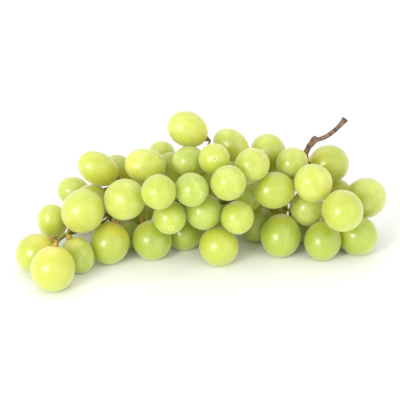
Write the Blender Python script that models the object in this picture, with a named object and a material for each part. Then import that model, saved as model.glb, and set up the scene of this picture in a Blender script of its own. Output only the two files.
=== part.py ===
"""A bunch of white grapes lying on its side.

One grown stem (peduncle, rachis, side branches and the small stalk of each berry)
carries 59 separate berries. X runs along the bunch from its tip to its shoulder,
Z is up, and the bunch lies on the plane Z = 0. Everything is modelled in metres.

The berries are placed by hand, then settled until none presses into another.
The side branches are grown afterwards through the air that the berries leave.
"""

import heapq
import math
from collections import Counter
from dataclasses import dataclass
from typing import Optional

import bmesh
import bpy
import numpy as np
from mathutils import Matrix, Vector

MM = 0.001

# Driving dimensions, in millimetres.
AIR_GAP = 0.35              # least air between two skins, or between a skin and the stem
FLAT_DEPTH = 0.35           # how far a berry gives where it lies on the table
CUT_RADIUS = 1.9            # peduncle at its cut end
PEDUNCLE_RADIUS = 1.3       # peduncle between the cut end and the knot
KNOT_RADIUS = 2.1           # swollen knot where the peduncle once forked
RACHIS_RADIUS = 1.6         # main stem inside the bunch
RACHIS_TIP_RADIUS = 1.0
STALK_RADIUS = 0.75         # stalk that carries one berry
RECEPTACLE_RADIUS = 2.0     # flared cushion that the berry sits on
RECEPTACLE_DEPTH = 0.9
LARGEST_BRANCH_RADIUS = 1.4
BRANCH_GROWTH = 0.35        # a branch's radius grows as this power of the berries it carries
NUB_REACH = (0.6, -0.4, 2.4)    # dry stub across the knot, from its middle to either end
BERRY_SEGMENTS = 12
BERRY_RINGS = 8

# Growing of the side branches.
GRID_STEP = 2.0             # spacing of the points that a branch may pass
LEAST_ROOM = STALK_RADIUS + AIR_GAP + 0.05
STALK_REACH = 3.0           # a stalk leaves its berry straight for this far
WIDE_ROOM = 3.0             # room beyond which a wider gap is no better
MOST_ROOM = 5.0             # a branch stays this near the berries, inside the bunch
CROWD_REACH = 17.0          # berries this near to a point make it part of the inside
INSIDE_CROWD = 8            # number of berries so near that the point is well inside
LOW_ENOUGH = 36             # branches grow below this height where they can
FAR_ENOUGH = 0              # and behind this Y, away from the open front
EXPOSED_STEP = 5.0          # a branch costs as much again for each such step past either
POINT_SPACING = 4.0         # spacing of the points along a finished branch
SMOOTH_ROUNDS = 12
CHUNK = 20000               # grid points measured at once

# Settling of the berries.
LYING_HEIGHT = 12           # a berry placed lower than this lies on the table
SETTLE_ROUNDS = 400
SETTLE_MARGIN = 0.05
PUSH = 0.35                 # share of an overlap that one round takes away
PULL = 0.01                 # share of the way back to the hand-set place
MOST_LEAN = 72              # degrees that a stalk may turn to find an air gap
LEAN_STEP = 12
SPIN_STEPS = 10

# The main stem from the cut end, over the knot and down into the bunch, to the tip.
PEDUNCLE_ROUTE = ((78, 14, 68), (73.5, 12.5, 63), (67, 11, 58.5), (61, 10, 57))
RACHIS_ROUTE = (
    (61, 10, 57), (58.5, 10.5, 53), (57, 11, 49), (58, 13, 42), (57, 14, 35), (51, 14, 27),
    (41, 13, 21), (28, 12.5, 19.5), (14, 12.5, 19.5), (0, 12, 18.5), (-14, 12, 20), (-27, 12, 23.5),
    (-38, 14, 23), (-46, 11, 18), (-53, 5, 14), (-59, -4, 12.5), (-65, -13, 14), (-71, -23, 17),
)


@dataclass
class Berry:
    """One berry: its centre, its width and length, and the side its stalk comes from."""

    x: float
    y: float
    z: float
    width: float
    length: float
    stalk_side: Optional[tuple] = None


# Berries by their place along the bunch, from the tip to the shoulder.
TIP_BERRIES = (
    Berry(-86, -29, 9.5, 19.4, 21.0, (0.8, 0.3, 0.5)),
    Berry(-79, -10, 18.5, 15.6, 18.8, (0.1, 0.1, -1.0)),
    Berry(-74.5, -49.5, 11, 21.8, 23.0, (0.1, 0.5, 0.85)),
    Berry(-69.5, 14, 25, 15.6, 18.0, (0.8, 0.1, -0.3)),
    Berry(-67, 23, 9.5, 19.6, 20.8),
    Berry(-63.5, -30.5, 9, 15.8, 19.6, (-0.05, 0.35, 0.92)),
    Berry(-61, -21.5, 30, 22.0, 23.4),
    Berry(-59, -1, 25, 19.6, 20.8, (0.53, 0.3, 0.77)),
)
LOWER_BERRIES = (
    Berry(-54.5, 3, 43.5, 17.2, 23.2, (0.75, 0.15, -0.55)),
    Berry(-48, -20, 10.5, 20.4, 22.8, (0.35, 0.4, 0.85)),
    Berry(-44, 27, 9.5, 19.2, 20.4),
    Berry(-45.5, 20, 35, 16.4, 17.4),
    Berry(-39.5, -19, 35.5, 21.0, 22.4),
    Berry(-40, -3.5, 7.5, 15.6, 16.6),
    Berry(-35.5, 11, 13, 16.5, 17.5),
    Berry(-32, 30, 26, 19.2, 20.4),
    Berry(-29, -1, 47, 18.0, 22.0, (0.95, 0.1, -0.2)),
)
MIDDLE_BERRIES = (
    Berry(-25.5, -15.5, 10, 20.2, 21.4, (-0.45, 0.5, 0.75)),
    Berry(-21.5, 28.5, 40.5, 15.2, 16.1),
    Berry(-21, -29, 44.5, 17.4, 18.6, (0.18, 0.98, -0.05)),
    Berry(-18, 26, 10, 20.0, 21.2),
    Berry(-16.5, 10.5, 41, 15.6, 16.6),
    Berry(-16, -21.5, 26.5, 16.8, 18.4, (-0.1, 0.97, 0.21)),
    Berry(-8.5, -4, 9, 18.4, 19.6),
    Berry(-7, 31, 27, 19.6, 20.8),
    Berry(-5.5, 0.5, 49, 16.2, 18.6, (0.85, 0.4, -0.3)),
    Berry(-6.5, 11.5, 62.5, 18.6, 22.2, (0.85, 0.1, -0.5)),
    Berry(-4.5, -23, 43, 17.0, 18.0, (-0.58, 0.81, -0.07)),
    Berry(11, 3, 9, 18.4, 19.4),
    Berry(2, -16, 27, 18.8, 20.0),
    Berry(4.5, 6.5, 33.5, 17.4, 18.4),
    Berry(7.5, -9, 54, 16.0, 16.8, (0, 0.9, -0.4)),
    Berry(10, -21.5, 9.5, 20.0, 21.0),
    Berry(14.5, -23, 47, 17.8, 19.0),
    Berry(18, 33, 28, 19.6, 20.8),
    Berry(17, 18, 51, 16.0, 21.0, (0.7, -0.2, -0.5)),
    Berry(19.5, -21, 26, 17.0, 18.0),
    Berry(7, 28, 10, 20.4, 21.6),
)
SHOULDER_BERRIES = (
    Berry(26.5, 3, 28.5, 17.8, 18.8),
    Berry(27.5, -10.5, 51.5, 17.2, 18.0),
    Berry(31, 7, 10, 19.4, 20.5),
    Berry(37.5, 20.5, 45, 19.4, 22.0, (0.35, 0.1, -0.93)),
    Berry(39, -9, 36.5, 19.2, 22.4, (0.9, 0.4, -0.1)),
    Berry(41, 33.5, 29, 20.0, 21.2),
    Berry(43, -10.5, 10.5, 20.8, 23.4, (0.1, 0.75, 0.65)),
    Berry(39.5, 26, 10, 20.0, 21.2),
    Berry(49.5, 4, 46.5, 16.4, 17.4),
    Berry(55, 4, 8, 16.0, 16.9),
    Berry(57.5, -3.5, 23.5, 17.6, 19.6, (0.1, 0.5, 0.85)),
    Berry(59.5, -11.5, 41.5, 19.4, 21.2, (0.1, 0.4, -0.9)),
    Berry(61, 33, 27, 19.6, 20.8),
    Berry(65.5, -15.5, 9.5, 19.0, 21.0, (0, 0.75, 0.65)),
    Berry(60.5, 23, 9.5, 19.2, 20.4),
    Berry(69.5, 16.5, 40, 20.8, 22.0),
    Berry(74, -23, 31, 21.0, 22.2),
    Berry(76, 18, 22.5, 15.6, 16.4),
    Berry(74.5, 5.5, 7.5, 15.1, 16.0),
    Berry(85, -9.5, 10, 20.4, 21.6, (-0.8, 0.4, 0.4)),
    Berry(90, 4.5, 25.5, 21.4, 22.6, (-0.7, 0.3, -0.6)),
)
ALL_BERRIES = TIP_BERRIES + LOWER_BERRIES + MIDDLE_BERRIES + SHOULDER_BERRIES


def unit(vectors):
    """Scale each row of an array to length one."""
    lengths = np.linalg.norm(vectors, axis=-1, keepdims=True)
    return vectors / np.maximum(lengths, 1e-9)


def smooth_route(points, spacing):
    """Points about `spacing` apart on a Catmull-Rom curve through a hand-placed route."""
    knots = [np.array(point, dtype=float) for point in points]
    knots = [2 * knots[0] - knots[1]] + knots + [2 * knots[-1] - knots[-2]]
    route = []
    for before, start, end, after in zip(knots, knots[1:], knots[2:], knots[3:]):
        steps = max(1, round(np.linalg.norm(end - start) / spacing))
        for step in range(steps):
            t = step / steps
            bend = 2 * before - 5 * start + 4 * end - after
            twist = 3 * start - before - 3 * end + after
            route.append(0.5 * (2 * start + (end - before) * t + bend * t ** 2 + twist * t ** 3))
    route.append(knots[-2])
    return np.array(route)


class Bunch:
    """The berries' centres and axes while they settle, in millimetres."""

    def __init__(self, berries, rachis):
        self.centres = np.array([(b.x, b.y, b.z) for b in berries], dtype=float)
        self.placed = self.centres.copy()
        self.widths = np.array([b.width / 2 for b in berries])
        self.lengths = np.array([b.length / 2 for b in berries])
        self.lying = self.placed[:, 2] < LYING_HEIGHT
        self.rachis = rachis
        self.axes = self.stalk_sides(berries)

    def stalk_sides(self, berries):
        """The way each stalk leaves its berry: as given, or towards the main stem."""
        sides = []
        for berry, centre in zip(berries, self.centres):
            nearest = self.rachis[np.argmin(np.linalg.norm(self.rachis - centre, axis=1))]
            sides.append(berry.stalk_side or nearest - centre)
        return unit(np.array(sides, dtype=float))

    def radii(self, along):
        """Radius of each berry where `along` is the cosine of the angle to its axis."""
        return 1 / np.sqrt(along ** 2 / self.lengths ** 2 + (1 - along ** 2) / self.widths ** 2)

    def settle(self, rounds):
        """Push the berries off each other, the main stem and the table, near their places."""
        for _ in range(rounds):
            offsets = self.centres[:, None] - self.centres[None]
            distances = np.linalg.norm(offsets, axis=2) + 1e-9
            directions = offsets / distances[..., None]
            reach_in = self.radii(np.einsum("ijk,jk->ij", directions, self.axes))
            overlap = reach_in + reach_in.T + AIR_GAP + SETTLE_MARGIN - distances
            np.fill_diagonal(overlap, 0)
            moves = (directions * np.maximum(overlap, 0)[..., None] * PUSH).sum(axis=1)
            moves += self.push_off_rachis() + PULL * (self.placed - self.centres)
            self.centres += moves
            self.lay_on_table()

    def push_off_rachis(self):
        """Moves that clear the berries of the main stem."""
        offsets = self.centres[:, None] - self.rachis[None]
        distances = np.linalg.norm(offsets, axis=2)
        nearest = distances.argmin(axis=1)
        rows = np.arange(len(self.centres))
        directions = unit(offsets[rows, nearest])
        reach = self.radii((directions * self.axes).sum(axis=1)) + RACHIS_RADIUS + AIR_GAP
        overlap = np.maximum(reach + SETTLE_MARGIN - distances[rows, nearest], 0)
        return directions * overlap[:, None] * PUSH

    def lay_on_table(self):
        """Keep the lowest berries on the table, and every other berry above it."""
        slope = self.axes[:, 2] ** 2
        bottoms = np.sqrt(slope * self.lengths ** 2 + (1 - slope) * self.widths ** 2)
        heights = np.maximum(self.centres[:, 2], bottoms + AIR_GAP)
        self.centres[:, 2] = np.where(self.lying, bottoms - FLAT_DEPTH, heights)

    def room(self, points, skip=-1):
        """Distance from each point to the nearest skin, and the way out from that berry."""
        offsets = points[:, None] - self.centres[None]
        distances = np.linalg.norm(offsets, axis=2) + 1e-9
        directions = offsets / distances[..., None]
        gaps = distances - self.radii(np.einsum("ijk,jk->ij", directions, self.axes))
        if skip >= 0:
            gaps[:, skip] = np.inf
        nearest = gaps.argmin(axis=1)
        rows = np.arange(len(points))
        return gaps[rows, nearest], directions[rows, nearest]

    def turn_stalks_clear(self):
        """Turn each berry, where needed, so that its stalk leaves through an air gap."""
        for index, wished in enumerate(self.axes.copy()):
            across = np.array(Vector(wished).orthogonal().normalized())
            best_room = -np.inf
            for lean in range(0, MOST_LEAN + 1, LEAN_STEP):
                for spin in range(SPIN_STEPS):
                    turn = Matrix.Rotation(spin * math.tau / SPIN_STEPS, 3, Vector(wished))
                    sideways = np.array(turn @ Vector(across))
                    tilt = math.radians(lean)
                    side = wished * math.cos(tilt) + sideways * math.sin(tilt)
                    way = np.array([self.lengths[index] + 0.5, self.lengths[index] + STALK_REACH])
                    points = self.centres[index] + way[:, None] * side
                    room = self.room(points, skip=index)[0].min()
                    if room > best_room + 0.1 and best_room < RECEPTACLE_RADIUS + AIR_GAP:
                        best_room = room
                        self.axes[index] = side

    def stalk_points(self, distance):
        """The point straight out from each berry's stalk end, at a distance from the skin."""
        return self.centres + self.axes * (self.lengths[:, None] + distance)

    def receptacle_radius(self, index):
        """Radius of the cushion under a berry, smaller where its neighbours are close."""
        face = self.stalk_points(AIR_GAP)[index:index + 1]
        room = self.room(face, skip=index)[0][0] - AIR_GAP
        return float(np.clip(room, STALK_RADIUS, RECEPTACLE_RADIUS))


class Branches:
    """The tree of side branches, grown through the air between the berries."""

    def __init__(self, bunch):
        self.bunch = bunch
        self.points = self.free_points()
        self.links = self.free_links()
        self.parents, self.distances = self.grow_from_rachis()
        self.routes = self.routes_to_berries()
        self.carried = Counter(point for route in self.routes for point in route)
        self.smooth()

    def free_points(self):
        """Grid points pushed towards the middle of the air gaps, where a stalk fits."""
        low = self.bunch.centres.min(axis=0) - 6
        high = self.bunch.centres.max(axis=0) + 6
        axes = [np.arange(start, end, GRID_STEP) for start, end in zip(low, high)]
        self.shape = tuple(len(axis) for axis in axes)
        grid = np.stack(np.meshgrid(*axes, indexing="ij"), axis=-1).reshape(-1, 3)
        for _ in range(3):
            for start in range(0, len(grid), CHUNK):
                part = slice(start, start + CHUNK)
                room, way_out = self.bunch.room(grid[part])
                step = np.clip(WIDE_ROOM - room, 0, GRID_STEP / 2)
                step[room < -GRID_STEP] = 0
                grid[part] += way_out * step[:, None] * 0.7
        self.rooms = np.concatenate(
            [self.bunch.room(grid[start:start + CHUNK])[0] for start in range(0, len(grid), CHUNK)]
        )
        self.free = (self.rooms > LEAST_ROOM) & (self.rooms < MOST_ROOM) & (grid[:, 2] > LEAST_ROOM)
        self.crowds = np.ones(len(grid))
        for index in np.flatnonzero(self.free):
            gaps = np.linalg.norm(self.bunch.centres - grid[index], axis=1)
            self.crowds[index] = max(1, np.count_nonzero(gaps < CROWD_REACH))
        return grid

    def free_links(self):
        """Neighbouring free points, and the cost of growing from one to the other."""
        index = np.arange(len(self.points)).reshape(self.shape)
        links = {}
        for step in ((a, b, c) for a in (-1, 0, 1) for b in (-1, 0, 1) for c in (-1, 0, 1)):
            if step <= (0, 0, 0):
                continue
            here = index[tuple(slice(max(0, -s), n - max(0, s)) for s, n in zip(step, self.shape))].ravel()
            there = index[tuple(slice(max(0, s), n + min(0, s)) for s, n in zip(step, self.shape))].ravel()
            both = self.free[here] & self.free[there]
            here, there = here[both], there[both]
            middles = (self.points[here] + self.points[there]) / 2
            rooms = np.concatenate(
                [self.bunch.room(middles[start:start + CHUNK])[0] for start in range(0, len(here), CHUNK)]
            )
            lengths = np.linalg.norm(self.points[here] - self.points[there], axis=1)
            costs = lengths / np.clip(rooms, LEAST_ROOM, WIDE_ROOM)
            costs *= (INSIDE_CROWD / np.minimum(self.crowds[here], self.crowds[there])) ** 2
            exposed = np.maximum(middles[:, 2] - LOW_ENOUGH, 0) + np.maximum(FAR_ENOUGH - middles[:, 1], 0)
            costs *= 1 + exposed / EXPOSED_STEP
            for first, second, cost, room in zip(here, there, costs, rooms):
                if room > LEAST_ROOM:
                    links.setdefault(first, []).append((second, cost))
                    links.setdefault(second, []).append((first, cost))
        return links

    def grow_from_rachis(self):
        """Shortest ways from the main stem to every free point."""
        parents = {}
        distances = {}
        queue = []
        for index in np.flatnonzero(self.free):
            gap = np.linalg.norm(self.bunch.rachis - self.points[index], axis=1)
            if gap.min() < GRID_STEP * 1.5 and index in self.links:
                heapq.heappush(queue, (gap.min(), int(index), -1 - int(gap.argmin())))
        while queue:
            distance, index, parent = heapq.heappop(queue)
            if index in distances:
                continue
            distances[index] = distance
            parents[index] = parent
            for neighbour, cost in self.links.get(index, ()):
                if neighbour not in distances:
                    heapq.heappush(queue, (distance + cost, int(neighbour), index))
        return parents, distances

    def routes_to_berries(self):
        """For each berry, the free points from its stalk back to the main stem."""
        reached = np.array(sorted(self.distances))
        starts = self.bunch.stalk_points(STALK_REACH)
        routes = []
        for start in starts:
            gaps = np.linalg.norm(self.points[reached] - start, axis=1)
            route = [int(reached[gaps.argmin()])]
            while self.parents[route[-1]] >= 0:
                route.append(self.parents[route[-1]])
            routes.append(route)
        return routes

    def root_of(self, point):
        """The place on the main stem where the branch at a free point begins, if it does."""
        parent = self.parents[point]
        return self.bunch.rachis[-1 - parent] if parent < 0 else None

    def radius(self, point):
        """Radius of the branch at a free point, from the number of berries it carries."""
        return min(STALK_RADIUS * self.carried[point] ** BRANCH_GROWTH, LARGEST_BRANCH_RADIUS)

    def smooth(self):
        """Even out the branches' bends, and keep them clear of the berries and the table."""
        used = sorted(self.carried)
        ends = {route[0]: start for route, start in zip(self.routes, self.bunch.stalk_points(STALK_REACH))}
        neighbours = {point: [] for point in used}
        for point in used:
            if self.parents[point] >= 0:
                neighbours[point].append(self.parents[point])
                neighbours[self.parents[point]].append(point)
        needed = np.array([self.radius(point) + AIR_GAP for point in used])
        for _ in range(SMOOTH_ROUNDS):
            middles = []
            for point in used:
                around = [self.points[neighbour] for neighbour in neighbours[point]]
                if self.root_of(point) is not None:
                    around.append(self.root_of(point))
                if point in ends:
                    around.append(ends[point])
                middles.append(np.mean(around, axis=0))
            places = 0.5 * self.points[used] + 0.5 * np.array(middles)
            for _ in range(2):
                room, way_out = self.bunch.room(places)
                places += way_out * np.maximum(needed - room, 0)[:, None]
                places[:, 2] = np.maximum(places[:, 2], needed)
            self.points[used] = places

    def tubes(self):
        """Each branch as a list of points with radii, from a berry back to what carries it."""
        reach = self.bunch.room(self.points[sorted(self.carried)])[0] - AIR_GAP / 2
        widest = dict(zip(sorted(self.carried), reach))
        faces, backs = self.bunch.stalk_points(AIR_GAP), self.bunch.stalk_points(AIR_GAP + RECEPTACLE_DEPTH)
        bends = self.bunch.stalk_points(STALK_REACH)
        longest_first = sorted(range(len(self.routes)), key=lambda berry: -len(self.routes[berry]))
        drawn = set()
        for berry in longest_first:
            cushion = self.bunch.receptacle_radius(berry)
            tube = [(faces[berry], cushion), (backs[berry], max(0.7 * cushion, STALK_RADIUS))]
            tube.append((bends[berry], STALK_RADIUS))
            for point in self.routes[berry]:
                place, radius = self.points[point], min(self.radius(point), widest[point])
                last_one = point in drawn or self.root_of(point) is not None
                gap = np.linalg.norm(place - tube[-1][0])
                if gap > POINT_SPACING * 0.4 and (gap > POINT_SPACING * 0.8 or last_one):
                    tube.append((place, radius))
                if point in drawn:
                    break
                drawn.add(point)
            else:
                tube.append((self.root_of(self.routes[berry][-1]), radius))
            yield berry, tube


def add_material(name, colour, roughness):
    """A plain Principled material."""
    material = bpy.data.materials.new(name)
    material.use_nodes = True
    shader = material.node_tree.nodes["Principled BSDF"]
    shader.inputs["Base Color"].default_value = (*colour, 1.0)
    shader.inputs["Roughness"].default_value = roughness
    return material


def add_tube(name, points, radii, sides, collection):
    """A closed mesh tube through the points, made from a bevelled curve with filled caps."""
    curve = bpy.data.curves.new(name, "CURVE")
    curve.dimensions = "3D"
    curve.bevel_depth = MM
    curve.bevel_resolution = (sides - 4) // 2
    curve.use_fill_caps = True
    spline = curve.splines.new("POLY")
    spline.points.add(len(points) - 1)
    for control, place, radius in zip(spline.points, points, radii):
        control.co = (*(place * MM), 1.0)
        control.radius = radius
    draft = bpy.data.objects.new(name + "_draft", curve)
    collection.objects.link(draft)
    evaluated = draft.evaluated_get(bpy.context.evaluated_depsgraph_get())
    mesh = bpy.data.meshes.new_from_object(evaluated)
    bpy.data.objects.remove(draft)
    bpy.data.curves.remove(curve)
    surface = bmesh.new()
    surface.from_mesh(mesh)
    bmesh.ops.remove_doubles(surface, verts=surface.verts, dist=0.01 * MM)
    bmesh.ops.recalc_face_normals(surface, faces=surface.faces)
    surface.to_mesh(mesh)
    surface.free()
    mesh.name = name
    tube = bpy.data.objects.new(name, mesh)
    collection.objects.link(tube)
    return tube


def add_stem(bunch, parts, guides, material):
    """The whole stem as one body: peduncle, rachis, branches and stalks joined."""
    peduncle = smooth_route(PEDUNCLE_ROUTE, POINT_SPACING / 2)
    rachis = smooth_route(RACHIS_ROUTE, POINT_SPACING)
    thin = np.linspace(RACHIS_RADIUS, RACHIS_TIP_RADIUS, len(rachis))
    neck = np.full(len(peduncle), PEDUNCLE_RADIUS)
    neck[0] = CUT_RADIUS
    neck[1] = 0.5 * (CUT_RADIUS + PEDUNCLE_RADIUS)
    neck[-1] = KNOT_RADIUS
    thin[0] = KNOT_RADIUS
    points = np.concatenate([peduncle[:-1], rachis])
    stem = add_tube("stem", points, np.concatenate([neck[:-1], thin]), 8, parts)
    stem.data.materials.append(material)
    knot = np.array(RACHIS_ROUTE[0], dtype=float)
    ends = np.array([knot - np.array(NUB_REACH), knot + np.array(NUB_REACH)])
    add_tube("knot_nub", ends, (1.1, 1.3), 8, guides)
    for berry, tube in Branches(bunch).tubes():
        places, radii = zip(*tube)
        add_tube(f"branch_{berry + 1:02d}", np.array(places), radii, 6, guides)
    for guide in guides.objects:
        guide.hide_render = True
        guide.display_type = "WIRE"
    union = stem.modifiers.new("grown_together", "BOOLEAN")
    union.operation = "UNION"
    union.operand_type = "COLLECTION"
    union.collection = guides
    union.solver = "EXACT"
    grown = bpy.data.meshes.new_from_object(stem.evaluated_get(bpy.context.evaluated_depsgraph_get()))
    stem.modifiers.clear()
    stem.data = grown
    drop_inner_shells(grown)
    grown.shade_smooth()
    grown.set_sharp_from_angle(angle=math.radians(50))
    return stem


def drop_inner_shells(mesh):
    """Delete the small closed voids that the union leaves between branches that touch."""
    surface = bmesh.new()
    surface.from_mesh(mesh)
    unseen = set(surface.faces)
    shells = []
    while unseen:
        shell = {unseen.pop()}
        rim = list(shell)
        while rim:
            face = rim.pop()
            touching = {other for edge in face.edges for other in edge.link_faces} & unseen
            unseen -= touching
            shell |= touching
            rim.extend(touching)
        shells.append(shell)
    largest = max(shells, key=len)
    small = [face for shell in shells if shell is not largest for face in shell]
    bmesh.ops.delete(surface, geom=small, context="FACES")
    surface.to_mesh(mesh)
    surface.free()


def add_berry(name, centre, axis, width, length, parts, material):
    """One oval berry, with a small flat where it lies on the table."""
    turn = Vector(axis).to_track_quat("Z", "Y").to_matrix().to_4x4()
    place = Matrix.Translation(Vector(centre * MM)) @ turn
    surface = bmesh.new()
    bmesh.ops.create_uvsphere(surface, u_segments=BERRY_SEGMENTS, v_segments=BERRY_RINGS, radius=MM)
    bmesh.ops.scale(surface, vec=(width, width, length), verts=surface.verts)
    bmesh.ops.transform(surface, matrix=place, verts=surface.verts)
    whole = surface.verts[:] + surface.edges[:] + surface.faces[:]
    bmesh.ops.bisect_plane(
        surface, geom=whole, dist=0.001 * MM, plane_co=(0, 0, 0), plane_no=(0, 0, -1), clear_outer=True
    )
    open_edges = [edge for edge in surface.edges if edge.is_boundary]
    bmesh.ops.contextual_create(surface, geom=open_edges)
    bmesh.ops.transform(surface, matrix=place.inverted(), verts=surface.verts)
    mesh = bpy.data.meshes.new(name)
    surface.to_mesh(mesh)
    surface.free()
    mesh.shade_smooth()
    mesh.materials.append(material)
    berry = bpy.data.objects.new(name, mesh)
    berry.matrix_world = place
    parts.objects.link(berry)
    return berry


def centre_over_origin(parts):
    """Slide the bunch along the table until its box is centred over the origin."""
    corners = np.array([part.matrix_world @ vertex.co for part in parts.objects for vertex in part.data.vertices])
    middle = (corners.min(axis=0) + corners.max(axis=0)) / 2
    slide = Matrix.Translation((-middle[0], -middle[1], 0))
    for part in parts.objects:
        part.matrix_world = slide @ part.matrix_world


def main():
    """Clear the scene and model the bunch."""
    for old in list(bpy.data.objects):
        bpy.data.objects.remove(old)
    parts = bpy.data.collections.new("bunch_of_grapes")
    guides = bpy.data.collections.new("stem_branches")
    bpy.context.scene.collection.children.link(parts)
    bpy.context.scene.collection.children.link(guides)

    bunch = Bunch(ALL_BERRIES, smooth_route(RACHIS_ROUTE, GRID_STEP))
    bunch.settle(SETTLE_ROUNDS)
    bunch.turn_stalks_clear()
    bunch.settle(SETTLE_ROUNDS // 4)

    add_stem(bunch, parts, guides, add_material("grape_stem", (0.30, 0.20, 0.09), 0.7))
    skin = add_material("grape_skin", (0.62, 0.68, 0.22), 0.3)
    for number, (centre, axis, width, length) in enumerate(
        zip(bunch.centres, bunch.axes, bunch.widths, bunch.lengths), start=1
    ):
        add_berry(f"berry_{number:02d}", centre, axis, width, length, parts, skin)
    centre_over_origin(parts)


main()
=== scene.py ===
"""The looks of a bunch of white grapes that lies on its side.

Each berry is rebuilt as a smooth oval with its stalk dimple, its blossom scar and a
waxy skin, and the stem as one woody piece with a warty cushion under every berry.
Where everything sits is read from the frame, and nothing is moved or resized.
"""

import logging
import math
from dataclasses import dataclass
from enum import Enum
from typing import Any, Optional

import bmesh
import bpy
import numpy as np
from mathutils import Matrix, Vector, noise


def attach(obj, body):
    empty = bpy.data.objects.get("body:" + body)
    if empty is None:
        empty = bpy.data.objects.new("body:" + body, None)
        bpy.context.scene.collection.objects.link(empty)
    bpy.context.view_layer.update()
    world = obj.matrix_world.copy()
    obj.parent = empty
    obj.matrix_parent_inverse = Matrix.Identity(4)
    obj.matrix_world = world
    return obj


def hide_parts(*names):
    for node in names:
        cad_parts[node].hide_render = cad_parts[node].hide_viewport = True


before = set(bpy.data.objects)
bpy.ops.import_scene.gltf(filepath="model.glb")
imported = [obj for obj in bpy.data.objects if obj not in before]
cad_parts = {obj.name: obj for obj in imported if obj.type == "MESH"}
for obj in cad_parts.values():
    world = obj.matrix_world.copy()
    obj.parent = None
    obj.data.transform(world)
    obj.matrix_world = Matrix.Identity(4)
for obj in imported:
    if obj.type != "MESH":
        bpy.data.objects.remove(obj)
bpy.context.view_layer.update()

MM = 0.001
GOLDEN_STEP = 0.6180339887      # spreads the berries' seeds evenly over zero to one
BODY = "root"
STEM_NODE = "stem"
LOG = logging.getLogger("grapes")


# ---------------------------------------------------------------- shading help


def linear(hex_colour: str) -> tuple[float, float, float, float]:
    """Turn an sRGB hex colour to the linear colour that a shader takes.

    Args:
        hex_colour: Six hex digits, such as "c8d24e".

    Returns:
        The linear red, green and blue, with an alpha of one.
    """
    channels = [int(hex_colour[place:place + 2], 16) / 255 for place in (0, 2, 4)]
    red, green, blue = (c / 12.92 if c <= 0.04045 else ((c + 0.055) / 1.055) ** 2.4 for c in channels)
    return red, green, blue, 1.0


def add_node(
    tree: bpy.types.NodeTree, kind: str, inputs: Optional[dict] = None, **settings: Any
) -> bpy.types.Node:
    """Add a node with its settings, constants and links.

    Args:
        tree: The node tree to add to.
        kind: The node's type, without "ShaderNode".
        inputs: For each socket's name or number, a constant or the output socket to link.
        **settings: Properties of the node.

    Returns:
        The new node.
    """
    node = tree.nodes.new("ShaderNode" + kind)
    for name, value in settings.items():
        setattr(node, name, value)
    for socket, value in (inputs or {}).items():
        if isinstance(value, bpy.types.NodeSocket):
            tree.links.new(value, node.inputs[socket])
        else:
            node.inputs[socket].default_value = value
    return node


def empty_material(name: str) -> bpy.types.Material:
    """Make a material whose node tree is empty.

    Args:
        name: The material's name.

    Returns:
        The new material.
    """
    material = bpy.data.materials.new(name)
    material.use_nodes = True
    material.node_tree.nodes.clear()
    return material


def blend_colours(tree: bpy.types.NodeTree, amount: Any, first: Any, second: Any) -> bpy.types.NodeSocket:
    """Mix two colours.

    Args:
        tree: The node tree to add to.
        amount: Share of the second colour, as a number or a socket.
        first: The colour at zero, as four numbers or a socket.
        second: The colour at one, as four numbers or a socket.

    Returns:
        The mixed colour's socket.
    """
    node = add_node(tree, "Mix", {0: amount, 6: first, 7: second}, data_type="RGBA", blend_type="MIX")
    return node.outputs[2]


def fade(tree: bpy.types.NodeTree, value: Any, start: float, end: float, low: float, high: float) -> Any:
    """Map a value smoothly from one range to another.

    Args:
        tree: The node tree to add to.
        value: The socket to map.
        start: The value that gives `low`.
        end: The value that gives `high`.
        low: The result at and before `start`.
        high: The result at and past `end`.

    Returns:
        The mapped value's socket.
    """
    settings = {"Value": value, "From Min": start, "From Max": end, "To Min": low, "To Max": high}
    return add_node(tree, "MapRange", settings, interpolation_type="SMOOTHSTEP").outputs[0]


# -------------------------------------------------------------------- finishes


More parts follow.
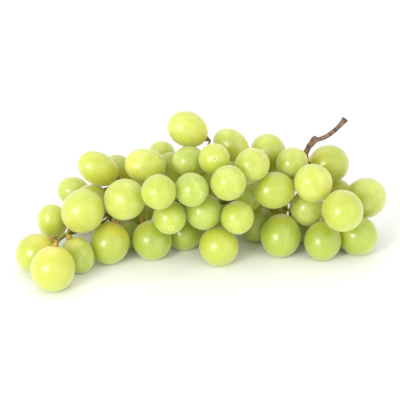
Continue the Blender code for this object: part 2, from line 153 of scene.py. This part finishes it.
@dataclass(frozen=True)
class GrapeSkin:
    """White-grape skin: a thin translucent skin over clear flesh, under a dusting of wax.

    The flesh lights up from inside, the wax bloom greys it in soft patches, and faint
    pale veins run from the stalk to the blossom end.
    """

    green: str = "9fb137"           # berry from the shaded side of the bunch
    golden: str = "c3c649"          # berry ripened in the sun
    stalk_end: str = "ded04a"       # yellower flesh round the stalk
    blossom_end: str = "b0c64b"
    vein: str = "e6edaa"
    bloom: str = "dae09c"           # wax seen over the skin
    speck: str = "7d7424"
    scar: str = "4a3b1c"
    halo: str = "e8e8b4"            # pale skin round the scar
    ring: str = "c9a63a"            # skin that the cushion presses on
    down: str = "f4f8e0"            # whitish sheen of the wax at the rim
    ior: float = 1.42
    specular: float = 0.8
    roughness: float = 0.4
    wax_roughness: float = 0.55     # how much rougher the skin is under full wax
    coat_roughness: float = 0.26
    sheen: float = 0.45
    sheen_roughness: float = 0.4
    flesh_depth: float = 22.0 * MM  # how far light wanders in the flesh
    flesh_reach: tuple[float, float, float] = (1.0, 0.9, 0.08)  # red, green and blue, to flesh_depth
    forward_scatter: float = 0.4
    stalk_end_share: float = 0.55   # how much of its colour the stalk end takes
    blossom_end_share: float = 0.35
    pattern_shift: float = 40.0     # how far a berry's seed moves its pattern
    vein_shift: float = 17.0
    vein_count: float = 3.2         # cells of the vein pattern per unit of the turn
    vein_stretch: float = 0.35      # cells per unit along the berry, so that veins are long
    vein_grain: float = 2.2
    vein_strength: float = 0.1
    bloom_patch: float = 6.0        # mm across a patch of wax
    bloom_least: float = 0.05
    bloom_most: float = 0.42
    speck_spacing: float = 2.6      # mm between specks
    speck_core: float = 0.05        # solid part of a speck, as a share of the spacing
    speck_edge: float = 0.09
    speckless: float = 0.86         # share of the places that stay without a speck
    pore_size: float = 0.35         # mm, coarser than real pores, which don't show
    pore_strength: float = 0.04
    pore_depth: float = 0.05 * MM

    def material(self) -> bpy.types.Material:
        """Build the skin's material.

        Returns:
            The material.
        """
        material = empty_material("waxy_grape_skin")
        tree = material.node_tree
        tone = add_node(tree, "Attribute", attribute_name="berry_tone")
        tones = add_node(tree, "SeparateXYZ", {0: tone.outputs["Vector"]}).outputs
        ripeness, wax, seed = tones[0], tones[1], tones[2]
        turn = add_node(tree, "Attribute", attribute_name="berry_turn").outputs["Vector"]
        along = add_node(tree, "SeparateXYZ", {0: turn}).outputs[2]
        place = add_node(tree, "Attribute", attribute_name="berry_place").outputs["Vector"]
        shifted = self.shifted(tree, place, seed, self.pattern_shift)

        colour = blend_colours(tree, ripeness, linear(self.green), linear(self.golden))
        upper = fade(tree, along, 0.1, 1.0, 0.0, self.stalk_end_share)
        colour = blend_colours(tree, upper, colour, linear(self.stalk_end))
        lower = fade(tree, along, -0.2, -1.0, 0.0, self.blossom_end_share)
        colour = blend_colours(tree, lower, colour, linear(self.blossom_end))
        veins = self.veins(tree, turn, seed)
        colour = blend_colours(tree, veins, colour, linear(self.vein))
        bloom = self.bloom_patches(tree, shifted, wax)
        colour = blend_colours(tree, bloom, colour, linear(self.bloom))
        colour = blend_colours(tree, self.specks(tree, shifted), colour, linear(self.speck))
        colour = self.ends(tree, place, colour)

        roughness = add_node(
            tree, "Math", {0: bloom, 1: self.wax_roughness, 2: self.roughness}, operation="MULTIPLY_ADD"
        ).outputs[0]
        pores = add_node(tree, "TexNoise", {"Vector": shifted, "Scale": 1 / self.pore_size, "Detail": 2.0})
        bump = add_node(
            tree,
            "Bump",
            {"Height": pores.outputs[0], "Strength": self.pore_strength, "Distance": self.pore_depth},
        )
        shader = add_node(
            tree,
            "BsdfPrincipled",
            {
                "Base Color": colour,
                "Roughness": roughness,
                "IOR": self.ior,
                "Specular IOR Level": self.specular,
                "Subsurface Weight": 1.0,
                "Subsurface Radius": self.flesh_reach,
                "Subsurface Scale": self.flesh_depth,
                "Subsurface Anisotropy": self.forward_scatter,
                "Coat Weight": 1.0,
                "Coat Roughness": self.coat_roughness,
                "Sheen Weight": self.sheen,
                "Sheen Roughness": self.sheen_roughness,
                "Sheen Tint": linear(self.down),
                "Normal": bump.outputs[0],
            },
            subsurface_method="RANDOM_WALK",
        )
        add_node(tree, "OutputMaterial", {"Surface": shader.outputs[0]})
        return material

    def shifted(self, tree: bpy.types.NodeTree, place: Any, seed: Any, reach: float) -> Any:
        """Move a pattern by a berry's own seed, so that no two berries match.

        Args:
            tree: The node tree to add to.
            place: The place on the berry.
            seed: The berry's seed, from zero to one.
            reach: How far the seed moves the pattern.

        Returns:
            The moved place's socket.
        """
        step = add_node(tree, "CombineXYZ", {0: seed, 1: seed, 2: seed})
        scaled = add_node(tree, "VectorMath", {0: step.outputs[0], 3: reach}, operation="SCALE")
        return add_node(tree, "VectorMath", {0: place, 1: scaled.outputs[0]}, operation="ADD").outputs[0]

    def veins(self, tree: bpy.types.NodeTree, turn: Any, seed: Any) -> Any:
        """Draw faint pale lines from pole to pole: a noise that is drawn out along the berry.

        Args:
            tree: The node tree to add to.
            turn: The place round and along the berry.
            seed: The berry's seed, from zero to one.

        Returns:
            The veins' strength.
        """
        moved = self.shifted(tree, turn, seed, self.vein_shift)
        cells = (self.vein_count, self.vein_count, self.vein_stretch)
        streaks = add_node(tree, "Mapping", {"Vector": moved, "Scale": cells})
        lines = add_node(
            tree, "TexNoise", {"Vector": streaks.outputs[0], "Scale": self.vein_grain, "Detail": 3.0}
        )
        return fade(tree, lines.outputs[0], 0.5, 0.75, 0.0, self.vein_strength)

    def bloom_patches(self, tree: bpy.types.NodeTree, place: Any, wax: Any) -> Any:
        """Dust the skin with wax: soft patches, rubbed thin in places.

        Args:
            tree: The node tree to add to.
            place: The place on the berry, moved by its seed.
            wax: How waxy this berry is, from zero to one.

        Returns:
            The wax's strength.
        """
        grain = {"Vector": place, "Scale": 1 / self.bloom_patch, "Detail": 4.0, "Roughness": 0.6}
        patches = add_node(tree, "TexNoise", grain)
        rubbed = fade(tree, patches.outputs[0], 0.35, 0.7, self.bloom_least, self.bloom_most)
        return add_node(tree, "Math", {0: rubbed, 1: wax}, operation="MULTIPLY").outputs[0]

    def specks(self, tree: bpy.types.NodeTree, place: Any) -> Any:
        """Scatter sparse brown pin-pricks, where the skin has breathed.

        Args:
            tree: The node tree to add to.
            place: The place on the berry, moved by its seed.

        Returns:
            The specks' strength.
        """
        cells = add_node(tree, "TexVoronoi", {"Vector": place, "Scale": 1 / self.speck_spacing})
        dot = fade(tree, cells.outputs["Distance"], self.speck_core, self.speck_edge, 1.0, 0.0)
        luck = add_node(tree, "SeparateColor", {0: cells.outputs["Color"]}).outputs[0]
        few = add_node(tree, "Math", {0: luck, 1: self.speckless}, operation="GREATER_THAN").outputs[0]
        return add_node(tree, "Math", {0: dot, 1: few}, operation="MULTIPLY").outputs[0]

    def ends(self, tree: bpy.types.NodeTree, place: Any, colour: Any) -> Any:
        """Draw the blossom scar with its pale halo, and the golden ring under the stalk.

        The radii in the fades are millimetres from the berry's axis.

        Args:
            tree: The node tree to add to.
            place: The place on the berry, in mm from its centre.
            colour: The skin's colour so far.

        Returns:
            The finished colour's socket.
        """
        parts = add_node(tree, "SeparateXYZ", {0: place}).outputs
        flat = add_node(tree, "CombineXYZ", {0: parts[0], 1: parts[1], 2: 0.0})
        reach = add_node(tree, "VectorMath", {0: flat.outputs[0]}, operation="LENGTH").outputs["Value"]
        below = add_node(tree, "Math", {0: parts[2], 1: 0.0}, operation="LESS_THAN").outputs[0]
        above = add_node(tree, "Math", {0: parts[2], 1: 0.0}, operation="GREATER_THAN").outputs[0]
        strength = add_node(tree, "Attribute", attribute_name="berry_scar").outputs["Fac"]
        below = add_node(tree, "Math", {0: below, 1: strength}, operation="MULTIPLY").outputs[0]
        glow = fade(tree, reach, 0.7, 1.9, 0.6, 0.0)
        halo = add_node(tree, "Math", {0: glow, 1: below}, operation="MULTIPLY")
        colour = blend_colours(tree, halo.outputs[0], colour, linear(self.halo))
        core = fade(tree, reach, 0.35, 0.6, 0.85, 0.0)
        dot = add_node(tree, "Math", {0: core, 1: below}, operation="MULTIPLY")
        colour = blend_colours(tree, dot.outputs[0], colour, linear(self.scar))
        pressed = fade(tree, reach, 1.6, 3.2, 0.6, 0.0)
        ring = add_node(tree, "Math", {0: pressed, 1: above}, operation="MULTIPLY")
        return blend_colours(tree, ring.outputs[0], colour, linear(self.ring))


@dataclass(frozen=True)
class StemBark:
    """Grape stem: woody brown bark on the cut stalk, greener and softer on the thin stalks.

    The bark is matt and finely ridged along the stem, and the cushion under each berry
    is golden brown with tiny warts.
    """

    bark_light: str = "9c7a63"
    bark_dark: str = "553c30"
    green_light: str = "a9b042"
    green_dark: str = "767a28"
    cushion_light: str = "d8a845"
    cushion_dark: str = "8a6124"
    cut_face: str = "8d8f74"
    roughness: float = 0.62
    furrow_roughness: float = 0.12      # how much rougher the bark is in its furrows
    ridge_size: float = 0.5 * MM        # between bark ridges
    ridge_strength: float = 0.5
    ridge_depth: float = 0.15 * MM
    painted_furrow_shade: float = 0.75          # painted shade: how bright a furrow is, to a ridge
    patch_size: float = 3.0 * MM        # across a patch of darker bark
    sap_light: float = 0.1              # share of the light that goes under the surface
    sap_depth: float = 0.6 * MM
    sap_reach: tuple[float, float, float] = (1.0, 0.6, 0.2)

    def material(self) -> bpy.types.Material:
        """Build the bark's material.

        Returns:
            The material.
        """
        material = empty_material("woody_grape_stem")
        tree = material.node_tree
        zone = add_node(tree, "Attribute", attribute_name="stem_zone").outputs["Vector"]
        woody, cushion, cut = add_node(tree, "SeparateXYZ", {0: zone}).outputs
        here = add_node(tree, "TexCoord").outputs["Object"]
        grain = {"Vector": here, "Scale": 1 / self.patch_size, "Detail": 5.0, "Roughness": 0.65}
        patches = add_node(tree, "TexNoise", grain)
        ridges = add_node(tree, "TexNoise", {"Vector": here, "Scale": 1 / self.ridge_size, "Detail": 3.0})
        dark = fade(tree, patches.outputs[0], 0.38, 0.62, 0.0, 1.0)
        bark = blend_colours(tree, dark, linear(self.bark_light), linear(self.bark_dark))
        green = blend_colours(tree, dark, linear(self.green_light), linear(self.green_dark))
        golden = blend_colours(tree, dark, linear(self.cushion_light), linear(self.cushion_dark))
        colour = blend_colours(tree, woody, green, bark)
        colour = blend_colours(tree, cushion, colour, golden)
        colour = blend_colours(tree, cut, colour, linear(self.cut_face))
        # painted shade: the bark's colour is darkened in the furrows between its ridges, following the same
        # noise as the bump
        fine = fade(tree, ridges.outputs[0], 0.35, 0.65, self.painted_furrow_shade, 1.0)
        shade = add_node(tree, "CombineColor", {0: fine, 1: fine, 2: fine})
        colour = add_node(
            tree, "Mix", {0: 1.0, 6: colour, 7: shade.outputs[0]}, data_type="RGBA", blend_type="MULTIPLY"
        ).outputs[2]
        relief = {"Height": ridges.outputs[0], "Strength": self.ridge_strength, "Distance": self.ridge_depth}
        bump = add_node(tree, "Bump", relief)
        furrowed = self.roughness + self.furrow_roughness
        shader = add_node(
            tree,
            "BsdfPrincipled",
            {
                "Base Color": colour,
                "Roughness": fade(tree, ridges.outputs[0], 0.3, 0.7, furrowed, self.roughness),
                "Subsurface Weight": self.sap_light,
                "Subsurface Radius": self.sap_reach,
                "Subsurface Scale": self.sap_depth,
                "Normal": bump.outputs[0],
            },
        )
        add_node(tree, "OutputMaterial", {"Surface": shader.outputs[0]})
        return material


# --------------------------------------------------------------------- berries


class Ripeness(Enum):
    """How far a berry has turned from green to gold: its share of the golden colour."""

    GREEN = 0.1
    PALE = 0.42
    YELLOW = 0.7


@dataclass
class Berry:
    """One oval berry, placed and sized from its frame node.

    Its own axis runs from the blossom end, at -Z, to the stalk end, at +Z.
    """

    node: str
    centre: Vector
    stalk_side: Vector
    half_width: float
    half_length: float
    ripeness: Ripeness = Ripeness.PALE
    segments: int = 64
    rings: int = 40
    taper: float = 0.035            # how much narrower the berry is towards its stalk
    lumpiness: float = 0.02         # share of the radius that gentle dents take away
    dents: float = 1.6              # dents of the lump pattern per radius
    dent_shift: float = 40.0        # how far the seed moves the lump pattern
    dimple_depth: float = 0.5 * MM
    dimple_reach: float = 1.9 * MM
    scar_height: float = 0.18 * MM
    scar_reach: float = 0.45 * MM
    scar_dip: float = 0.22 * MM
    scar_dip_reach: float = 1.3 * MM
    scar_tone: float = 0.3          # how dark the scar is, from zero to one
    plumpness: float = 0.35 * MM    # how far the skin swells, until neighbours touch
    press_gap: float = 0.01 * MM    # air left between two skins that press on each other
    wax_middle: float = 0.55        # how waxy the berries are, from zero to one
    wax_spread: float = 0.45
    ripeness_spread: float = 0.2    # how far berries of one ripeness differ

    @property
    def name(self) -> str:
        """Name of the piece, from its node's number."""
        return self.node.replace("berry", "grape")

    @property
    def seed(self) -> float:
        """A number from zero to one that no other berry shares."""
        return (int(self.node.split("_")[1]) * GOLDEN_STEP) % 1.0

    def radius(self, side: Vector) -> float:
        """How far the berry reaches from its centre towards one side."""
        along = side.dot(self.stalk_side)
        return 1 / math.sqrt(along ** 2 / self.half_length ** 2 + (1 - along ** 2) / self.half_width ** 2)

    def press(self, surface: bmesh.types.BMesh, others: list["Berry"]) -> None:
        """Flatten the skin where a neighbour presses on it.

        Args:
            surface: The berry in its place.
            others: All the berries.
        """
        for other in others:
            offset = other.centre - self.centre
            if other is self or offset.length > self.half_length + other.half_length:
                continue
            side = offset.normalized()
            reach = self.radius(side)
            wall = (offset.length + reach - other.radius(-side)) / 2 - self.press_gap
            if wall >= reach:
                continue
            for vertex in surface.verts:
                past = (vertex.co - self.centre).dot(side) - wall
                if past > 0:
                    vertex.co -= side * past

    def build(self, skin: bpy.types.Material, others: list["Berry"]) -> bpy.types.Object:
        """Model the berry and dress it.

        Args:
            skin: The skin's material.
            others: All the berries, some of which press on this one.

        Returns:
            The finished piece.
        """
        surface = bmesh.new()
        bmesh.ops.create_uvsphere(surface, u_segments=self.segments, v_segments=self.rings, radius=1.0)
        turns = [vertex.co.copy() for vertex in surface.verts]
        for vertex in surface.verts:
            vertex.co = self.shaped(vertex.co)
        places = [vertex.co / MM for vertex in surface.verts]
        upright = self.stalk_side.to_track_quat("Z", "Y").to_matrix().to_4x4()
        bmesh.ops.transform(surface, matrix=Matrix.Translation(self.centre) @ upright, verts=surface.verts)
        self.press(surface, others)
        for vertex in surface.verts:
            vertex.co.z = max(vertex.co.z, 0.0)
        mesh = bpy.data.meshes.new(self.name)
        surface.to_mesh(mesh)
        surface.free()
        self.write_attributes(mesh, turns, places)
        mesh.shade_smooth()
        mesh.materials.append(skin)
        piece = bpy.data.objects.new(self.name, mesh)
        bpy.context.scene.collection.objects.link(piece)
        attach(piece, BODY)
        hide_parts(self.node)
        return piece

    def shaped(self, unit: Vector) -> Vector:
        """Turn a point of the unit sphere to one of the berry's skin, about its centre.

        Args:
            unit: The point of the unit sphere.

        Returns:
            The point of the skin, with the stalk end towards +Z.
        """
        narrowing = 1 - self.taper * max(0.0, unit.z) ** 2
        lumps = noise.noise(unit * self.dents + Vector((self.seed * self.dent_shift, 0, 7)))
        size = 1 - self.lumpiness * (0.5 + 0.5 * lumps)
        width = self.half_width * size * narrowing
        point = Vector((unit.x * width, unit.y * width, unit.z * self.half_length * size))
        reach = math.hypot(point.x, point.y)
        if unit.z > 0:
            point.z -= self.dimple_depth * math.exp(-((reach / self.dimple_reach) ** 2))
        else:
            point.z += self.scar_dip * math.exp(-((reach / self.scar_dip_reach) ** 2))
            point.z -= self.scar_height * math.exp(-((reach / self.scar_reach) ** 4))
        return point

    def write_attributes(self, mesh: bpy.types.Mesh, turns: list[Vector], places: list[Vector]) -> None:
        """Store what the skin's pattern follows.

        Args:
            mesh: The berry's mesh.
            turns: Each point's place on the unit sphere.
            places: Each point's place in mm from the berry's centre.
        """
        for name in ("berry_turn", "berry_place", "berry_tone"):
            mesh.attributes.new(name, "FLOAT_VECTOR", "POINT")
        mesh.attributes.new("berry_scar", "FLOAT", "POINT")
        turn, place, tone, scar = (
            mesh.attributes["berry_" + name].data for name in ("turn", "place", "tone", "scar")
        )
        wax = self.wax_middle + self.wax_spread * math.sin(self.seed * 29.0)
        ripeness = self.ripeness.value + self.ripeness_spread * (self.seed - 0.5)
        ripeness = min(1.0, max(0.0, ripeness))
        for index, (unit, point) in enumerate(zip(turns, places)):
            across = Vector((unit.x, unit.y, 0)).normalized()
            turn[index].vector = (across.x, across.y, unit.z)
            place[index].vector = point
            tone[index].vector = (ripeness, wax, self.seed)
            scar[index].value = self.scar_tone


@dataclass
class Berries:
    """All the berries, read from the frame's nodes.

    The lists hold the numbers of the berries that differ from the rest.
    """

    skin: GrapeSkin
    greener: tuple[int, ...] = (6, 14, 15, 18, 24, 26, 28, 30, 41, 45, 52, 58)
    yellower: tuple[int, ...] = (1, 2, 3, 7, 9, 13, 17, 27, 32, 33, 50)
    scarred: tuple[int, ...] = (17, 23, 28, 32, 58)     # with a dark blossom scar

    def build(self, stalk_points: np.ndarray) -> list[Berry]:
        """Model every berry.

        Args:
            stalk_points: Points of the stem, which tell a berry's stalk end from its other.

        Returns:
            The berries.
        """
        material = self.skin.material()
        berries = [self.read(name, stalk_points) for name in sorted(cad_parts) if name != STEM_NODE]
        for berry in berries:
            piece = berry.build(material, berries)
            LOG.info("%s: %d faces", piece.name, len(piece.data.polygons))
        return berries

    def read(self, node: str, stalk_points: np.ndarray) -> Berry:
        """Find a berry's centre, axis and size from its node.

        Args:
            node: The node's name.
            stalk_points: Points of the stem.

        Returns:
            The berry, not yet modelled.
        """
        points = node_points(node)
        points = np.unique(points.round(7), axis=0)
        middle = points.mean(axis=0)
        spread = np.cov((points - middle).T)
        axis = np.linalg.eigh(spread)[1][:, -1]
        heights = (points - middle) @ axis
        centre = middle + axis * (heights.max() + heights.min()) / 2
        half_length = (heights.max() - heights.min()) / 2
        poles = [centre + axis * half_length, centre - axis * half_length]
        gaps = [np.linalg.norm(stalk_points - pole, axis=1).min() for pole in poles]
        if gaps[1] < gaps[0]:
            axis = -axis
        across = (points - centre) - np.outer((points - centre) @ axis, axis)
        half_width = np.linalg.norm(across, axis=1).max()
        ripeness = Ripeness.PALE
        number = int(node.split("_")[1])
        if number in self.greener:
            ripeness = Ripeness.GREEN
        if number in self.yellower:
            ripeness = Ripeness.YELLOW
        berry = Berry(node, Vector(centre), Vector(axis), float(half_width), float(half_length), ripeness)
        berry.half_width += berry.plumpness
        berry.half_length += berry.plumpness
        if number in self.scarred:
            berry.scar_tone = 1.0
        return berry


def node_points(node: str) -> np.ndarray:
    """Give a frame node's points.

    Args:
        node: The node's name.

    Returns:
        One row for each point, in metres.
    """
    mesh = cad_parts[node].data
    points = np.empty(len(mesh.vertices) * 3)
    mesh.vertices.foreach_get("co", points)
    return points.reshape(-1, 3)


# ------------------------------------------------------------------------ stem


@dataclass
class Stem:
    """The one grown stem, from the cut stalk to the cushion under each berry."""

    bark: StemBark
    weld: float = 0.002 * MM
    voxel: float = 0.34 * MM
    rounding_turns: int = 3
    rounding: float = 0.5
    cushion_reach: float = 2.8 * MM     # how far from a berry the cushion's colour goes
    cushion_core: float = 1.3           # past one, part of the cushion has its full colour
    join_gap: float = 0.75 * MM         # how far each cushion swells to meet its berry
    join_height: float = 0.9 * MM       # the cushion swells below this height over its berry
    wart_height: float = 0.22 * MM
    wart_spacing: float = 0.7 * MM
    wart_reach: float = 1.3             # how far warts go, to the cushion's reach
    wart_edge: float = 3.0              # how quickly warts fade in at that reach
    ridge_height: float = 0.12 * MM
    ridge_spacing: float = 0.9 * MM
    entry: Vector = Vector((0.0545, 0.0191, 0.049))     # where the cut stalk goes into the bunch
    entry_fade: float = 14 * MM         # how far inside the bunch the bark turns green
    entry_slack: float = 4 * MM
    least_woody: float = 0.1
    cut_end: Vector = Vector((0.0755, 0.0221, 0.068))
    cut_reach: float = 1.5 * MM

    def build(self, berries: list[Berry]) -> bpy.types.Object:
        """Model the stem round the frame's own stem, and dress it.

        Args:
            berries: The berries that it carries.

        Returns:
            The finished piece.
        """
        piece = self.smooth_copy()
        mesh = piece.data
        poles = np.array([berry.centre + berry.stalk_side * berry.half_length for berry in berries])
        sides = np.array([berry.stalk_side for berry in berries])
        self.shape(mesh, poles, sides)
        self.write_zones(mesh, poles)
        mesh.shade_smooth()
        mesh.materials.clear()
        mesh.materials.append(self.bark.material())
        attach(piece, BODY)
        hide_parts(STEM_NODE)
        LOG.info("%s: %d faces", piece.name, len(mesh.polygons))
        return piece

    def smooth_copy(self) -> bpy.types.Object:
        """Copy the frame's stem, and grow its tubes together with an even, rounded skin.

        Returns:
            The smooth stem, without modifiers.
        """
        surface = bmesh.new()
        surface.from_mesh(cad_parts[STEM_NODE].data)
        bmesh.ops.remove_doubles(surface, verts=surface.verts, dist=self.weld)
        mesh = bpy.data.meshes.new("grape_stem")
        surface.to_mesh(mesh)
        surface.free()
        piece = bpy.data.objects.new("grape_stem", mesh)
        bpy.context.scene.collection.objects.link(piece)
        remesh = piece.modifiers.new("even_skin", "REMESH")
        remesh.mode = "VOXEL"
        remesh.voxel_size = self.voxel
        rounded = piece.modifiers.new("rounded", "SMOOTH")
        rounded.iterations = self.rounding_turns
        rounded.factor = self.rounding
        evaluated = piece.evaluated_get(bpy.context.evaluated_depsgraph_get())
        finished = bpy.data.meshes.new_from_object(evaluated)
        piece.modifiers.clear()
        piece.data = finished
        return piece

    def shape(self, mesh: bpy.types.Mesh, poles: np.ndarray, sides: np.ndarray) -> None:
        """Swell the cushions onto their berries, and roughen the bark.

        Args:
            mesh: The stem's mesh.
            poles: Each berry's stalk end.
            sides: The way out of each berry at its stalk end.
        """
        normals = [vertex.normal.copy() for vertex in mesh.vertices]
        for vertex, normal in zip(mesh.vertices, normals):
            offsets = np.array(vertex.co) - poles
            nearest = int(np.linalg.norm(offsets, axis=1).argmin())
            distance = float(np.linalg.norm(offsets[nearest]))
            height = float(offsets[nearest] @ sides[nearest])
            near = max(0.0, 1 - distance / (self.cushion_reach * self.wart_reach))
            bumps = max(0.0, noise.noise(vertex.co / self.wart_spacing))
            warts = bumps * self.wart_height * min(1.0, near * self.wart_edge)
            ridges = noise.noise(vertex.co / self.ridge_spacing) * self.ridge_height
            vertex.co += normal * (warts + ridges)
            if distance < self.cushion_reach and height < self.join_height:
                facing = max(0.0, -normal.dot(Vector(sides[nearest])))
                vertex.co -= Vector(sides[nearest]) * self.join_gap * facing

    def write_zones(self, mesh: bpy.types.Mesh, poles: np.ndarray) -> None:
        """Store how woody the stem is, how near to a berry, and where it was cut.

        Args:
            mesh: The stem's mesh.
            poles: Each berry's stalk end.
        """
        zone = mesh.attributes.new("stem_zone", "FLOAT_VECTOR", "POINT")
        for vertex, value in zip(mesh.vertices, zone.data):
            distance = float(np.linalg.norm(np.array(vertex.co) - poles, axis=1).min())
            cushion = min(1.0, max(0.0, self.cushion_core - distance / self.cushion_reach))
            woody = 1 - (vertex.co - self.entry).length / self.entry_fade
            if vertex.co.z > self.entry.z and vertex.co.x > self.entry.x - self.entry_slack:
                woody = 1.0
            woody = min(1.0, max(self.least_woody, woody))
            cut = 1.0 if (vertex.co - self.cut_end).length < self.cut_reach else 0.0
            value.vector = (woody, cushion, cut)


# ---------------------------------------------------------------------- studio


@dataclass(frozen=True)
class Softbox:
    """A square soft box: where it stands, how wide it is and its power in watts."""

    name: str
    place: tuple[float, float, float]
    size: float
    power: float


@dataclass
class Studio:
    """White sweep, soft boxes and the camera. None of it belongs to the grapes."""

    floor_colour: str = "fafaf8"
    floor_roughness: float = 0.9
    floor_reach: float = 3.0            # metres from the middle to an edge
    softboxes: tuple[Softbox, ...] = (
        Softbox("key_softbox", (-0.58, -0.83, 0.42), 0.32, 5.8),
        Softbox("top_softbox", (-0.15, 0.35, 0.95), 0.9, 1.5),
        Softbox("fill_softbox", (0.75, -0.6, 0.5), 0.9, 2.0),
    )
    target: Vector = Vector((-0.0025, 0.0182, 0.0217))
    elevation: float = math.radians(25)
    distance: float = 0.62
    seen_width: float = 0.22            # width of the view at the target
    nearest_seen: float = 0.01
    sensor: float = 36.0
    world_strength: float = 0.9
    light_bounces: int = 8              # enough for light to reach deep between the berries

    def build(self) -> None:
        """Set up the floor, the light and the camera."""
        self.add_floor()
        self.add_sky()
        for softbox in self.softboxes:
            self.add_softbox(softbox)
        self.add_camera()
        scene = bpy.context.scene
        scene.cycles.diffuse_bounces = self.light_bounces
        scene.view_settings.view_transform = "Standard"
        scene.view_settings.look = "None"

    def add_floor(self) -> None:
        """Lay a wide white floor of matt paper."""
        surface = bmesh.new()
        bmesh.ops.create_grid(surface, x_segments=1, y_segments=1, size=self.floor_reach)
        mesh = bpy.data.meshes.new("paper_sweep")
        surface.to_mesh(mesh)
        surface.free()
        material = empty_material("white_paper")
        paper = {"Base Color": linear(self.floor_colour), "Roughness": self.floor_roughness}
        shader = add_node(material.node_tree, "BsdfPrincipled", paper)
        add_node(material.node_tree, "OutputMaterial", {"Surface": shader.outputs[0]})
        mesh.materials.append(material)
        floor = bpy.data.objects.new("paper_sweep", mesh)
        bpy.context.scene.collection.objects.link(floor)

    def add_sky(self) -> None:
        """Light the scene evenly from all round, as in a light tent."""
        world = bpy.data.worlds.new("light_tent")
        world.use_nodes = True
        background = world.node_tree.nodes["Background"]
        background.inputs["Color"].default_value = (1, 1, 1, 1)
        background.inputs["Strength"].default_value = self.world_strength
        bpy.context.scene.world = world

    def add_softbox(self, softbox: Softbox) -> None:
        """Add a soft box that faces the bunch.

        Args:
            softbox: The soft box to add.
        """
        light = bpy.data.lights.new(softbox.name, "AREA")
        light.size = softbox.size
        light.energy = softbox.power
        box = bpy.data.objects.new(softbox.name, light)
        box.location = softbox.place
        towards = self.target - Vector(softbox.place)
        box.rotation_euler = towards.to_track_quat("-Z", "Y").to_euler()
        bpy.context.scene.collection.objects.link(box)

    def add_camera(self) -> None:
        """Set up a long lens that looks down on the bunch."""
        lens = bpy.data.cameras.new("camera")
        lens.sensor_width = self.sensor
        lens.lens = self.sensor * self.distance / self.seen_width
        lens.clip_start = self.nearest_seen
        camera = bpy.data.objects.new("camera", lens)
        away = Vector((0, math.cos(self.elevation), -math.sin(self.elevation)))
        camera.location = self.target - away * self.distance
        camera.rotation_euler = away.to_track_quat("-Z", "Y").to_euler()
        bpy.context.scene.collection.objects.link(camera)
        bpy.context.scene.camera = camera


def main() -> None:
    """Build the bunch's looks and the studio round it."""
    logging.basicConfig(level=logging.INFO, format="%(message)s")
    stem_points = node_points(STEM_NODE)
    berries = Berries(GrapeSkin()).build(stem_points)
    Stem(StemBark()).build(berries)
    Studio().build()


if __name__ == "__main__":
    main()
